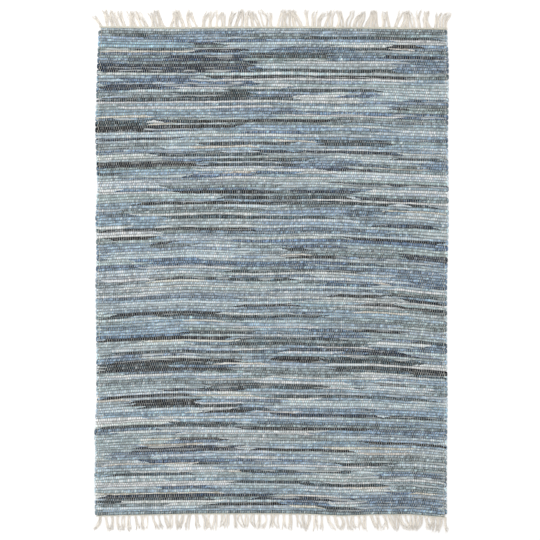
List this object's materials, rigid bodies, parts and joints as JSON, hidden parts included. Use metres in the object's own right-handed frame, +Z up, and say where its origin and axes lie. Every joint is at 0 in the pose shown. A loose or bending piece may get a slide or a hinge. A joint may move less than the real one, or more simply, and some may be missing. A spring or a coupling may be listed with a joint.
{
  "type": "rag rug",
  "caption": "Flat woven rag rug of denim strips on a cotton warp, with looped selvedges and a loose cotton fringe at both ends.",
  "frame": {"origin": "on the floor, under the middle of the rug", "axes": "+X across the rug along its picks, +Y along its length and warp, +Z up"},
  "size_m": [1.2107, 1.7737, 0.007],
  "materials": {
    "denim_rags": "worn, washed denim strips in pale, mid and dark blue and grey, matte, cut edges a little frayed",
    "cotton_warp": "undyed plied cotton, matte, loose at its ends"
  },
  "bodies": {
    "root": {"rag_cloth": "denim_rags", "fringe_far": "cotton_warp", "fringe_near": "cotton_warp"}
  },
  "joints": []
}
